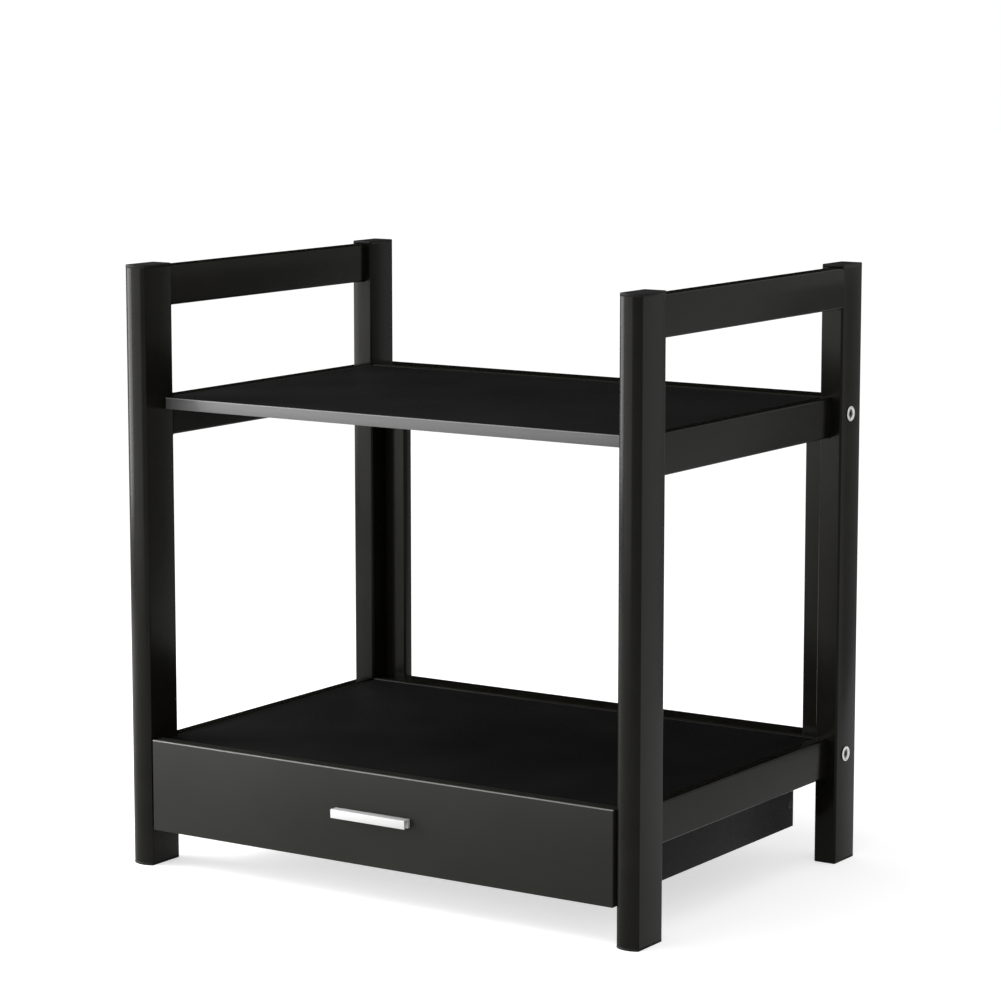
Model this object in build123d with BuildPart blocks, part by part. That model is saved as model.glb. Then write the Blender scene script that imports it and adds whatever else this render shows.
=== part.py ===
from build123d import *
from math import sqrt
import os

# Kitchen stand: two welded steel side frames, a bolted back frame, two laminated
# shelves and one drawer on ball-bearing slides.
# Frame of reference: +Z up, the drawer opens towards -Y, +X is the right-hand side.
# The origin is on the floor, under the middle of the whole stand (handle included).
# All lengths are millimetres.

os.makedirs("parts", exist_ok=True)

# ---- overall size -------------------------------------------------------------------
stand_width = 550.0
stand_depth = 395.0  # over the posts, without the handle
stand_height = 560.0

# ---- steel tubes --------------------------------------------------------------------
tube_wall = 1.2
tube_corner = 2.0  # outside corner radius
post_width = 22.2
front_post_depth = 42.7  # over the bowed front
front_post_bow = 3.5  # rise of the bowed front
bow_edge_radius = 1.2
rear_post_depth = 38.1
rail_height = 37.0
top_rail_width = 15.9
side_rail_width = 12.7
middle_rail_top = 438.0
lower_rail_top = 118.5
crossrail_size = 31.8
crossrail_setback = 5.0  # from the rear face of the rear posts
stile_width = 25.4
stile_depth = 12.7

# ---- plastic ends of the posts ------------------------------------------------------
cap_flange = 3.0
foot_flange = 2.5
plug_length = 14.0
plug_wall = 1.6
plug_play = 0.1
cap_round = 0.8
foot_bevel = 0.6

# ---- shelves ------------------------------------------------------------------------
shelf_thickness = 10.5
shelf_drop = 1.5  # top of a shelf below the top of its rails
shelf_side_play = 0.5
shelf_rear_play = 0.5
edge_band = 0.8
upper_shelf_setback = 30.5  # behind the bowed fronts of the posts
ledge_width = 22.0
ledge_thickness = 2.0
ledge_end_gap = 5.0
shelf_screw_inset = 15.0  # from the inner faces of the posts
shelf_screw_spacing = 120.0
shelf_screw_shank = 3.5
shelf_screw_hole = 4.2
shelf_screw_bite = 8.0
pan_head_diameter = 7.0
pan_head_height = 2.4

# ---- frame bolts --------------------------------------------------------------------
bolt_diameter = 5.0
bolt_length = 40.0
bolt_head_diameter = 8.5
bolt_head_height = 5.0
hex_socket = 4.0  # across flats
hex_socket_depth = 2.5
collar_diameter = 14.0
collar_lip = 1.5
collar_round = 0.6
sleeve_diameter = 10.6
head_pocket_depth = 6.0
bolt_play = 0.2
nut_block_length = 8.0

# ---- drawer -------------------------------------------------------------------------
drawer_front_setback = 1.3  # behind the bowed fronts of the posts
drawer_front_thickness = 15.0
drawer_front_bottom = 35.0
drawer_front_height = 85.5
drawer_front_gap = 2.6  # beside each post
drawer_shelf_gap = 3.0  # from the drawer front to the lower shelf
panel_edge = 0.6
drawer_side_thickness = 12.0
drawer_side_rise = 2.2  # above the bottom edge of the drawer front
drawer_side_height = 60.0
drawer_rear_gap = 23.9  # from the drawer back to the lower crossrail
drawer_floor_thickness = 3.0
drawer_floor_rise = 6.0  # above the bottom edge of the sides
groove_depth = 5.0
groove_play = 0.2
box_screw_diameter = 4.0
box_screw_length = 40.0
box_screw_head = 7.0
bracket_wall = 1.5
bracket_leg = 20.0
bracket_height = 30.0
bracket_screw_diameter = 3.5
bracket_screw_bite = 8.5
bracket_screw_spacing = 16.0
bracket_screw_offset = 12.0  # from the bracket's corner

# ---- handle -------------------------------------------------------------------------
handle_length = 80.5
handle_height = 8.0
handle_depth = 9.0
handle_centre_height = 80.6
handle_web = 2.0
handle_lip = 2.0
handle_back = 3.5
handle_edge = 0.5
handle_screw_spacing = 64.0
handle_screw_diameter = 4.0
handle_screw_clearance = 0.25
handle_screw_tip_gap = 0.5
handle_screw_head = 7.5

# ---- ball-bearing slides ------------------------------------------------------------
slide_rear_inset = 16.3  # from the rear end of the slide to that of the drawer side
slide_height = 27.0
slide_space = 10.0  # between the rail and the drawer side
slide_top_gap = 0.5  # under the shelf ledge
slide_front_gap = 1.7  # behind the drawer front
cabinet_wall = 1.2
middle_wall = 1.0
drawer_member_wall = 1.0
slide_mouth_gap = 1.0  # cabinet flange to the drawer side
web_gap = 0.3
retainer_wall = 0.4
outer_ball = 2.5
outer_ball_play = 0.1
inner_ball = 2.0
inner_ball_play = 0.05
ball_hole_play = 0.05
retainer_length = 146.0
balls_per_row = 8
slide_screw_diameter = 3.0
slide_screw_head = 6.0
slide_screw_length = 9.0
slide_screw_spacing = 110.0

# ---- places worked out from the sizes above -----------------------------------------
handle_reach = handle_depth - drawer_front_setback
front_y = -(stand_depth - handle_reach) / 2
rear_y = front_y + stand_depth
inner_x = stand_width / 2 - post_width  # inner faces of the posts
post_x = stand_width / 2 - post_width / 2
front_post_rear_y = front_y + front_post_depth
rear_post_front_y = rear_y - rear_post_depth
rear_post_y = rear_y - rear_post_depth / 2
tube_top = stand_height - cap_flange
crossrail_y = rear_y - crossrail_setback - crossrail_size / 2
crossrail_front_y = crossrail_y - crossrail_size / 2
crossrail_heights = [rail_top - crossrail_size / 2 for rail_top in (middle_rail_top, lower_rail_top)]
drawer_front_y = front_y + drawer_front_setback
drawer_front_back_y = drawer_front_y + drawer_front_thickness
drawer_side_bottom = drawer_front_bottom + drawer_side_rise
drawer_side_top = drawer_side_bottom + drawer_side_height
drawer_outer_x = inner_x - slide_space
drawer_inner_x = drawer_outer_x - drawer_side_thickness
drawer_rear_y = crossrail_front_y - drawer_rear_gap
drawer_box_depth = drawer_rear_y - drawer_front_back_y
drawer_floor_bottom = drawer_side_bottom + drawer_floor_rise
drawer_back_bottom = drawer_floor_bottom + drawer_floor_thickness + groove_play / 2
bracket_z = (drawer_back_bottom + drawer_side_top) / 2
bracket_screw_zs = [bracket_z + side * bracket_screw_spacing / 2 for side in (-1, 1)]
bracket_screw_x = drawer_inner_x - bracket_screw_offset
bracket_screw_y = drawer_front_back_y + bracket_screw_offset
upper_shelf_top = middle_rail_top - shelf_drop
lower_shelf_top = lower_rail_top - shelf_drop
upper_shelf_front_y = front_y + upper_shelf_setback
lower_shelf_front_y = drawer_front_back_y + drawer_shelf_gap
shelf_rear_y = crossrail_front_y - shelf_rear_play
shelf_mid_y = (front_post_rear_y + rear_post_front_y) / 2
shelf_screw_x = inner_x - shelf_screw_inset
shelf_screw_ys = [shelf_mid_y + step * shelf_screw_spacing for step in (-1, 0, 1)]
slide_z = lower_shelf_top - shelf_thickness - ledge_thickness - slide_top_gap - slide_height / 2
slide_front_y = drawer_front_back_y + slide_front_gap
slide_rear_y = drawer_rear_y - slide_rear_inset
slide_length = slide_rear_y - slide_front_y
slide_mid_y = (slide_front_y + slide_rear_y) / 2
slide_screw_ys = [slide_mid_y + step * slide_screw_spacing for step in (-1, 0, 1)]


def save(piece, name):
    """Label one finished piece and write its STEP file."""
    piece.label = name
    export_step(piece, f"parts/{name}.step")


def save_pair(right_piece, name):
    """Write a right-hand piece and its mirror image on the left."""
    save(right_piece, f"right_{name}")
    save(mirror(right_piece, about=Plane.YZ), f"left_{name}")


# ---- tubes of the side frames -------------------------------------------------------
def bowed_outline(inset, edge_radius):
    """Front-post section: flat sides and back, bowed front, centred on X, front at Y=0."""
    bow_radius = (post_width**2 / 4 + front_post_bow**2) / (2 * front_post_bow)
    half = post_width / 2 - inset
    shoulder = bow_radius - sqrt((bow_radius - inset) ** 2 - half**2)
    back = front_post_depth - inset
    with BuildSketch() as outline:
        with BuildLine():
            Polyline((-half, shoulder), (-half, back), (half, back), (half, shoulder))
            ThreePointArc((half, shoulder), (0, inset), (-half, shoulder))
        make_face()
        corners = outline.vertices().group_by(Axis.Y)
        fillet(corners[-1], max(tube_corner - inset, tube_corner - tube_wall))
        if edge_radius > 0:
            fillet(corners[0], edge_radius)
    return outline.sketch


front_outline = bowed_outline(0, bow_edge_radius)
front_bore = bowed_outline(tube_wall, 0)
front_plug = bowed_outline(tube_wall + plug_play, 0)
front_plug_core = bowed_outline(tube_wall + plug_play + plug_wall, 0)

with BuildPart() as front_post:
    with BuildSketch(Plane.XY.offset(foot_flange)):
        with Locations((post_x, front_y)):
            add(front_outline)
            add(front_bore, mode=Mode.SUBTRACT)
    extrude(amount=tube_top - foot_flange)
save_pair(front_post.part, "front_post")

with BuildPart() as rear_post:
    with BuildSketch(Plane.XY.offset(foot_flange)):
        with Locations((post_x, rear_post_y)):
            RectangleRounded(post_width, rear_post_depth, tube_corner)
            RectangleRounded(
                post_width - 2 * tube_wall,
                rear_post_depth - 2 * tube_wall,
                tube_corner - tube_wall,
                mode=Mode.SUBTRACT,
            )
    extrude(amount=tube_top - foot_flange)
    # holes for the frame bolts: a wide one for the sleeve, a small one for the shank
    with BuildSketch(Plane.YZ.offset(stand_width / 2 - tube_wall - bolt_play)):
        with Locations([(crossrail_y, height) for height in crossrail_heights]):
            Circle(sleeve_diameter / 2 + bolt_play / 2)
    extrude(amount=2 * tube_wall, mode=Mode.SUBTRACT)
    with BuildSketch(Plane.YZ.offset(inner_x - tube_wall)):
        with Locations([(crossrail_y, height) for height in crossrail_heights]):
            Circle(bolt_diameter / 2 + bolt_play)
    extrude(amount=3 * tube_wall, mode=Mode.SUBTRACT)
save_pair(rear_post.part, "rear_post")


def side_rail(outer_x, width, top):
    """Rail between the front and rear posts of the right-hand frame."""
    with BuildPart() as rail:
        with BuildSketch(Plane.XZ.offset(-rear_post_front_y)):
            with Locations((outer_x - width / 2, top - rail_height / 2)):
                RectangleRounded(width, rail_height, tube_corner)
                RectangleRounded(
                    width - 2 * tube_wall,
                    rail_height - 2 * tube_wall,
                    tube_corner - tube_wall,
                    mode=Mode.SUBTRACT,
                )
        extrude(amount=rear_post_front_y - front_post_rear_y)
    return rail.part


save_pair(side_rail(stand_width / 2, top_rail_width, tube_top), "top_rail")
save_pair(side_rail(inner_x + side_rail_width, side_rail_width, middle_rail_top), "middle_rail")
with BuildPart() as lower_rail:
    add(side_rail(inner_x + side_rail_width, side_rail_width, lower_rail_top))
    # holes for the screws of the slide
    with BuildSketch(Plane.YZ.offset(inner_x)):
        with Locations([(y, slide_z) for y in slide_screw_ys]):
            Circle(slide_screw_diameter / 2)
    extrude(amount=tube_wall, mode=Mode.SUBTRACT)
save_pair(lower_rail.part, "lower_rail")


# ---- caps and feet of the posts -----------------------------------------------------
def rear_section(inset):
    """Rear-post section, drawn in by inset, on its own centre."""
    with BuildSketch() as section:
        corner = max(tube_corner - inset, tube_corner - tube_wall)
        RectangleRounded(post_width - 2 * inset, rear_post_depth - 2 * inset, corner)
    return section.sketch


rear_outline = rear_section(0)
rear_plug = rear_section(tube_wall + plug_play)
rear_plug_core = rear_section(tube_wall + plug_play + plug_wall)


def post_end(outline, plug, core, y, flange_z, flange_height, plug_z, edge):
    """Moulded end of a post: a flange over the tube's end and a hollow plug inside it."""
    with BuildPart() as end:
        with BuildSketch(Plane.XY.offset(flange_z)):
            with Locations((post_x, y)):
                add(outline)
        extrude(amount=flange_height)
        if edge > 0:
            fillet(end.faces().sort_by(Axis.Z)[-1].edges(), edge)
        else:
            chamfer(end.faces().sort_by(Axis.Z)[0].edges(), -edge)
        with BuildSketch(Plane.XY.offset(plug_z)):
            with Locations((post_x, y)):
                add(plug)
                add(core, mode=Mode.SUBTRACT)
        extrude(amount=plug_length)
    return end.part


for section_name, outline, plug, core, post_y in (
    ("front", front_outline, front_plug, front_plug_core, front_y),
    ("rear", rear_outline, rear_plug, rear_plug_core, rear_post_y),
):
    cap = post_end(outline, plug, core, post_y, tube_top, cap_flange, tube_top - plug_length, cap_round)
    save_pair(cap, f"{section_name}_post_cap")
    foot = post_end(outline, plug, core, post_y, 0, foot_flange, foot_flange, -foot_bevel)
    save_pair(foot, f"{section_name}_foot")


# ---- back frame ---------------------------------------------------------------------
def crossrail(centre_z):
    """Square tube between the rear posts."""
    with BuildPart() as rail:
        with BuildSketch(Plane.YZ.offset(-inner_x)):
            with Locations((crossrail_y, centre_z)):
                RectangleRounded(crossrail_size, crossrail_size, tube_corner)
                RectangleRounded(
                    crossrail_size - 2 * tube_wall,
                    crossrail_size - 2 * tube_wall,
                    tube_corner - tube_wall,
                    mode=Mode.SUBTRACT,
                )
        extrude(amount=2 * inner_x)
    return rail.part


middle_height, lower_height = crossrail_heights
save(crossrail(middle_height), "middle_crossrail")
save(crossrail(lower_height), "lower_crossrail")

stile_bottom = lower_height + crossrail_size / 2
stile_top = middle_height - crossrail_size / 2
with BuildPart() as stile:
    with BuildSketch(Plane.XY.offset(stile_bottom)):
        with Locations((inner_x - stile_width / 2, rear_y - crossrail_setback - stile_depth / 2)):
            RectangleRounded(stile_width, stile_depth, tube_corner)
            RectangleRounded(
                stile_width - 2 * tube_wall,
                stile_depth - 2 * tube_wall,
                tube_corner - tube_wall,
                mode=Mode.SUBTRACT,
            )
    extrude(amount=stile_top - stile_bottom)
save_pair(stile.part, "back_stile")

# threaded blocks welded into both ends of each crossrail
with BuildPart() as nut_blocks:
    with BuildSketch(Plane.YZ.offset(inner_x - nut_block_length)):
        with Locations([(crossrail_y, height) for height in crossrail_heights]):
            block = crossrail_size - 2 * tube_wall
            RectangleRounded(block, block, tube_corner - tube_wall)
            Circle(bolt_diameter / 2, mode=Mode.SUBTRACT)
    extrude(amount=nut_block_length)
    mirror(about=Plane.YZ)
save(nut_blocks.part, "crossrail_nut_blocks")

# silver collars: a lip outside the post and a sleeve through it
collar_face_x = stand_width / 2 + collar_lip
sleeve_end_x = inner_x + tube_wall
head_seat_x = collar_face_x - head_pocket_depth
with BuildPart() as bolt_collars:
    bolt_places = [(crossrail_y, height) for height in crossrail_heights]
    with BuildSketch(Plane.YZ.offset(sleeve_end_x)):
        with Locations(bolt_places):
            Circle(sleeve_diameter / 2)
    extrude(amount=collar_face_x - sleeve_end_x)
    with BuildSketch(Plane.YZ.offset(stand_width / 2)):
        with Locations(bolt_places):
            Circle(collar_diameter / 2)
    extrude(amount=collar_lip)
    fillet(bolt_collars.edges().group_by(Axis.X)[-1], collar_round)
    with BuildSketch(Plane.YZ.offset(head_seat_x)):
        with Locations(bolt_places):
            Circle(bolt_head_diameter / 2 + bolt_play)
    extrude(amount=head_pocket_depth, mode=Mode.SUBTRACT)
    with BuildSketch(Plane.YZ.offset(sleeve_end_x)):
        with Locations(bolt_places):
            Circle(bolt_diameter / 2 + bolt_play)
    extrude(amount=head_seat_x - sleeve_end_x, mode=Mode.SUBTRACT)
    mirror(about=Plane.YZ)
save(bolt_collars.part, "bolt_collars")

with BuildPart() as frame_bolts:
    with BuildSketch(Plane.YZ.offset(head_seat_x - bolt_length)):
        with Locations(bolt_places):
            Circle(bolt_diameter / 2)
    extrude(amount=bolt_length)
    with BuildSketch(Plane.YZ.offset(head_seat_x)):
        with Locations(bolt_places):
            Circle(bolt_head_diameter / 2)
    extrude(amount=bolt_head_height)
    with BuildSketch(Plane.YZ.offset(head_seat_x + bolt_head_height - hex_socket_depth)):
        with Locations(bolt_places):
            RegularPolygon(hex_socket / 2, 6, major_radius=False)
    extrude(amount=hex_socket_depth, mode=Mode.SUBTRACT)
    mirror(about=Plane.YZ)
save(frame_bolts.part, "frame_bolts")


# ---- shelves ------------------------------------------------------------------------
def shelf_board(top, board_front_y):
    """Laminated board with pilot holes for its screws in the underside."""
    half_width = inner_x - shelf_side_play
    core_front_y = board_front_y + edge_band
    with BuildPart() as board:
        with BuildSketch(Plane.XY.offset(top - shelf_thickness)):
            with Locations((0, (core_front_y + shelf_rear_y) / 2)):
                Rectangle(2 * half_width, shelf_rear_y - core_front_y)
        extrude(amount=shelf_thickness)
        with BuildSketch(Plane.XY.offset(top - shelf_thickness)):
            with Locations([(side * shelf_screw_x, y) for side in (-1, 1) for y in shelf_screw_ys]):
                Circle(shelf_screw_shank / 2)
        extrude(amount=shelf_screw_bite, mode=Mode.SUBTRACT)
    return board.part


def shelf_edge_band(top, board_front_y):
    """Light strip glued along the front edge of a shelf."""
    with BuildPart() as band:
        with BuildSketch(Plane.XY.offset(top - shelf_thickness)):
            with Locations((0, board_front_y + edge_band / 2)):
                Rectangle(2 * (inner_x - shelf_side_play), edge_band)
        extrude(amount=shelf_thickness)
    return band.part


def shelf_ledge(top):
    """Flat bar welded to a rail's inner face, which carries one side of a shelf."""
    ledge_top = top - shelf_thickness
    with BuildPart() as ledge:
        with BuildSketch(Plane.XY.offset(ledge_top - ledge_thickness)):
            with Locations((inner_x - ledge_width / 2, shelf_mid_y)):
                ledge_length = rear_post_front_y - front_post_rear_y - 2 * ledge_end_gap
                Rectangle(ledge_width, ledge_length)
            with Locations([(shelf_screw_x, y) for y in shelf_screw_ys]):
                Circle(shelf_screw_hole / 2, mode=Mode.SUBTRACT)
        extrude(amount=ledge_thickness)
    return ledge.part


save(shelf_board(upper_shelf_top, upper_shelf_front_y), "upper_shelf")
save(shelf_edge_band(upper_shelf_top, upper_shelf_front_y), "upper_shelf_edge_band")
save(shelf_board(lower_shelf_top, lower_shelf_front_y), "lower_shelf")
save(shelf_edge_band(lower_shelf_top, lower_shelf_front_y), "lower_shelf_edge_band")
save_pair(shelf_ledge(upper_shelf_top), "upper_shelf_ledge")
save_pair(shelf_ledge(lower_shelf_top), "lower_shelf_ledge")

with BuildPart() as shelf_screws:
    for shelf_top in (upper_shelf_top, lower_shelf_top):
        seat_z = shelf_top - shelf_thickness - ledge_thickness
        places = [(side * shelf_screw_x, y) for side in (-1, 1) for y in shelf_screw_ys]
        with BuildSketch(Plane.XY.offset(seat_z)):
            with Locations(places):
                Circle(shelf_screw_shank / 2)
        extrude(amount=ledge_thickness + shelf_screw_bite)
        with BuildSketch(Plane.XY.offset(seat_z - pan_head_height)):
            with Locations(places):
                Circle(pan_head_diameter / 2)
        extrude(amount=pan_head_height)
save(shelf_screws.part, "shelf_screws")

# ---- drawer box ---------------------------------------------------------------------
bracket_screw_places = [(side * bracket_screw_x, z) for side in (-1, 1) for z in bracket_screw_zs]
handle_screw_z = handle_centre_height - handle_web / 2
handle_screw_places = [(side * handle_screw_spacing / 2, handle_screw_z) for side in (-1, 1)]
drawer_front_half = inner_x - drawer_front_gap

with BuildPart() as drawer_front:
    with BuildSketch(Plane.XZ.offset(-drawer_front_back_y)):
        with Locations((0, drawer_front_bottom + drawer_front_height / 2)):
            Rectangle(2 * drawer_front_half, drawer_front_height)
    extrude(amount=drawer_front_thickness)
    chamfer(drawer_front.faces().sort_by(Axis.Y)[0].edges(), panel_edge)
    # groove for the drawer floor
    with BuildSketch(Plane.XZ.offset(-drawer_front_back_y)):
        with Locations((0, drawer_floor_bottom + drawer_floor_thickness / 2)):
            Rectangle(2 * (drawer_inner_x + groove_depth), drawer_floor_thickness + groove_play)
    extrude(amount=groove_depth, mode=Mode.SUBTRACT)
    # clearance holes for the handle screws
    with BuildSketch(Plane.XZ.offset(-drawer_front_back_y)):
        with Locations(handle_screw_places):
            Circle(handle_screw_diameter / 2 + handle_screw_clearance)
    extrude(amount=drawer_front_thickness, mode=Mode.SUBTRACT)
    # pilot holes for the bracket screws
    with BuildSketch(Plane.XZ.offset(-drawer_front_back_y)):
        with Locations(bracket_screw_places):
            Circle(bracket_screw_diameter / 2)
    extrude(amount=bracket_screw_bite, mode=Mode.SUBTRACT)
save(drawer_front.part, "drawer_front")

drawer_side_x = drawer_outer_x - drawer_side_thickness / 2
drawer_box_y = drawer_front_back_y + drawer_box_depth / 2
drawer_groove_z = drawer_floor_bottom + drawer_floor_thickness / 2
with BuildPart() as drawer_side:
    with BuildSketch(Plane.XY.offset(drawer_side_bottom)):
        with Locations((drawer_side_x, drawer_box_y)):
            Rectangle(drawer_side_thickness, drawer_box_depth)
    extrude(amount=drawer_side_height)
    # groove for the drawer floor
    with BuildSketch(Plane.XZ.offset(-drawer_rear_y)):
        with Locations((drawer_inner_x + groove_depth / 2, drawer_groove_z)):
            Rectangle(groove_depth, drawer_floor_thickness + groove_play)
    extrude(amount=drawer_box_depth, mode=Mode.SUBTRACT)
    # pilot holes for the slide screws
    with BuildSketch(Plane.YZ.offset(drawer_outer_x)):
        with Locations([(y, slide_z) for y in slide_screw_ys]):
            Circle(slide_screw_diameter / 2)
    extrude(amount=-slide_screw_length, mode=Mode.SUBTRACT)
    # pilot holes for the bracket screws
    with BuildSketch(Plane.YZ.offset(drawer_inner_x)):
        with Locations([(bracket_screw_y, z) for z in bracket_screw_zs]):
            Circle(bracket_screw_diameter / 2)
    extrude(amount=bracket_screw_bite, mode=Mode.SUBTRACT)
    # holes for the screws into the back panel
    box_screw_y = drawer_rear_y - drawer_side_thickness / 2
    box_screw_zs = [drawer_back_bottom + drawer_side_thickness, drawer_side_top - drawer_side_thickness]
    with BuildSketch(Plane.YZ.offset(drawer_inner_x)):
        with Locations([(box_screw_y, z) for z in box_screw_zs]):
            Circle(box_screw_diameter / 2)
    extrude(amount=drawer_side_thickness, mode=Mode.SUBTRACT)
    for z in box_screw_zs:
        with Locations(Plane.YZ.offset(drawer_outer_x) * Location((box_screw_y, z))):
            CounterSinkHole(box_screw_diameter / 2, box_screw_head / 2, depth=drawer_side_thickness)
save_pair(drawer_side.part, "drawer_side")

with BuildPart() as drawer_back:
    with BuildSketch(Plane.XY.offset(drawer_back_bottom)):
        with Locations((0, box_screw_y)):
            Rectangle(2 * drawer_inner_x, drawer_side_thickness)
    extrude(amount=drawer_side_top - drawer_back_bottom)
    bite = box_screw_length - drawer_side_thickness
    for z in box_screw_zs:
        with BuildSketch(Plane.YZ.offset(drawer_inner_x - bite)):
            with Locations((box_screw_y, z)):
                Circle(box_screw_diameter / 2)
        extrude(amount=bite, mode=Mode.SUBTRACT)
        with BuildSketch(Plane.YZ.offset(-drawer_inner_x)):
            with Locations((box_screw_y, z)):
                Circle(box_screw_diameter / 2)
        extrude(amount=bite, mode=Mode.SUBTRACT)
save(drawer_back.part, "drawer_back")

with BuildPart() as drawer_floor:
    with BuildSketch(Plane.XY.offset(drawer_floor_bottom)):
        floor_half = drawer_inner_x + groove_depth - groove_play
        floor_front_y = drawer_front_back_y - groove_depth + groove_play
        with Locations((0, (floor_front_y + drawer_rear_y) / 2)):
            Rectangle(2 * floor_half, drawer_rear_y - floor_front_y)
    extrude(amount=drawer_floor_thickness)
save(drawer_floor.part, "drawer_floor")

# countersunk screws through the sides into the back panel
with BuildPart() as drawer_box_screws:
    head_drop = (box_screw_head - box_screw_diameter) / 2
    with BuildSketch(Plane.YZ.offset(drawer_outer_x - box_screw_length)):
        with Locations([(box_screw_y, z) for z in box_screw_zs]):
            Circle(box_screw_diameter / 2)
    extrude(amount=box_screw_length - head_drop)
    for z in box_screw_zs:
        with Locations(Location((drawer_outer_x - head_drop, box_screw_y, z), (0, 90, 0))):
            Cone(
                box_screw_diameter / 2,
                box_screw_head / 2,
                head_drop,
                align=(Align.CENTER, Align.CENTER, Align.MIN),
            )
    mirror(about=Plane.YZ)
save(drawer_box_screws.part, "drawer_box_screws")

# corner brackets inside the box, one leg on the drawer front and one on each side
with BuildPart() as drawer_front_brackets:
    with BuildSketch(Plane.XY.offset(bracket_z - bracket_height / 2)):
        with Locations((drawer_inner_x - bracket_leg / 2, drawer_front_back_y + bracket_wall / 2)):
            Rectangle(bracket_leg, bracket_wall)
        with Locations((drawer_inner_x - bracket_wall / 2, drawer_front_back_y + bracket_leg / 2)):
            Rectangle(bracket_wall, bracket_leg)
    extrude(amount=bracket_height)
    with BuildSketch(Plane.XZ.offset(-drawer_front_back_y - bracket_wall)):
        with Locations([(bracket_screw_x, z) for z in bracket_screw_zs]):
            Circle(bracket_screw_diameter / 2)
    extrude(amount=bracket_wall, mode=Mode.SUBTRACT)
    with BuildSketch(Plane.YZ.offset(drawer_inner_x - bracket_wall)):
        with Locations([(bracket_screw_y, z) for z in bracket_screw_zs]):
            Circle(bracket_screw_diameter / 2)
    extrude(amount=bracket_wall, mode=Mode.SUBTRACT)
    mirror(about=Plane.YZ)
save(drawer_front_brackets.part, "drawer_front_brackets")

with BuildPart() as drawer_front_screws:
    with BuildSketch(Plane.XZ.offset(-drawer_front_back_y - bracket_wall)):
        with Locations([(bracket_screw_x, z) for z in bracket_screw_zs]):
            Circle(bracket_screw_diameter / 2)
    extrude(amount=bracket_wall + bracket_screw_bite)
    with BuildSketch(Plane.XZ.offset(-drawer_front_back_y - bracket_wall)):
        with Locations([(bracket_screw_x, z) for z in bracket_screw_zs]):
            Circle(pan_head_diameter / 2)
    extrude(amount=-pan_head_height)
    with BuildSketch(Plane.YZ.offset(drawer_inner_x - bracket_wall)):
        with Locations([(bracket_screw_y, z) for z in bracket_screw_zs]):
            Circle(bracket_screw_diameter / 2)
    extrude(amount=bracket_wall + bracket_screw_bite)
    with BuildSketch(Plane.YZ.offset(drawer_inner_x - bracket_wall)):
        with Locations([(bracket_screw_y, z) for z in bracket_screw_zs]):
            Circle(pan_head_diameter / 2)
    extrude(amount=-pan_head_height)
    mirror(about=Plane.YZ)
save(drawer_front_screws.part, "drawer_front_screws")

# ---- handle -------------------------------------------------------------------------
with BuildPart() as drawer_handle:
    handle_back_y = drawer_front_y
    with BuildSketch(Plane.YZ.offset(-handle_length / 2)):
        with Locations((handle_back_y - handle_depth / 2, handle_centre_height)):
            Rectangle(handle_depth, handle_height)
        slot_width = handle_depth - handle_lip - handle_back
        slot_y = handle_back_y - handle_back - slot_width / 2
        with Locations((slot_y, handle_centre_height - handle_web / 2)):
            Rectangle(slot_width, handle_height - handle_web, mode=Mode.SUBTRACT)
    extrude(amount=handle_length)
    chamfer(drawer_handle.faces().sort_by(Axis.Y)[0].edges(), handle_edge)
    with BuildSketch(Plane.XZ.offset(-handle_back_y)):
        with Locations(handle_screw_places):
            Circle(handle_screw_diameter / 2)
    extrude(amount=handle_back, mode=Mode.SUBTRACT)
save(drawer_handle.part, "drawer_handle")

with BuildPart() as handle_screws:
    with BuildSketch(Plane.XZ.offset(-drawer_front_back_y)):
        with Locations(handle_screw_places):
            Circle(handle_screw_diameter / 2)
    extrude(amount=drawer_front_thickness + handle_back - handle_screw_tip_gap)
    with BuildSketch(Plane.XZ.offset(-drawer_front_back_y)):
        with Locations(handle_screw_places):
            Circle(handle_screw_head / 2)
    extrude(amount=-pan_head_height)
save(handle_screws.part, "handle_screws")

# ---- ball-bearing slides ------------------------------------------------------------
# Depths are measured from the rail's inner face towards the drawer.
cabinet_half = slide_height / 2
cabinet_mouth = slide_space - slide_mouth_gap
outer_race = cabinet_half - cabinet_wall
middle_half = outer_race - outer_ball - 2 * outer_ball_play
inner_race = middle_half - middle_wall
drawer_member_half = inner_race - inner_ball - 2 * inner_ball_play
outer_retainer_back = cabinet_wall + web_gap
middle_back = outer_retainer_back + retainer_wall + web_gap
middle_mouth = cabinet_mouth - middle_wall / 2
inner_retainer_back = middle_back + middle_wall + web_gap
drawer_member_mouth = inner_retainer_back + retainer_wall + web_gap
retainer_mouth = middle_mouth - middle_wall / 2
outer_ball_depth = (middle_back + middle_mouth) / 2
inner_ball_depth = (drawer_member_mouth + retainer_mouth) / 2
outer_ball_z = (outer_race + middle_half) / 2
inner_ball_z = (inner_race + drawer_member_half) / 2
ball_pitch = retainer_length / balls_per_row
ball_ys = [slide_mid_y + (index - (balls_per_row - 1) / 2) * ball_pitch for index in range(balls_per_row)]


def slide_channel(back, mouth, half_height, wall, length):
    """Channel along Y, its web at depth back and its flanges reaching to depth mouth."""
    direction = 1 if mouth > back else -1
    with BuildPart() as channel:
        with BuildSketch(Plane.XZ.offset(-(slide_mid_y + length / 2))):
            with Locations((inner_x - (back + mouth) / 2, slide_z)):
                Rectangle(abs(mouth - back), 2 * half_height)
            with Locations((inner_x - (back + mouth + direction * wall) / 2, slide_z)):
                Rectangle(abs(mouth - back) - wall, 2 * (half_height - wall), mode=Mode.SUBTRACT)
        extrude(amount=length)
    return channel.part


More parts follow.
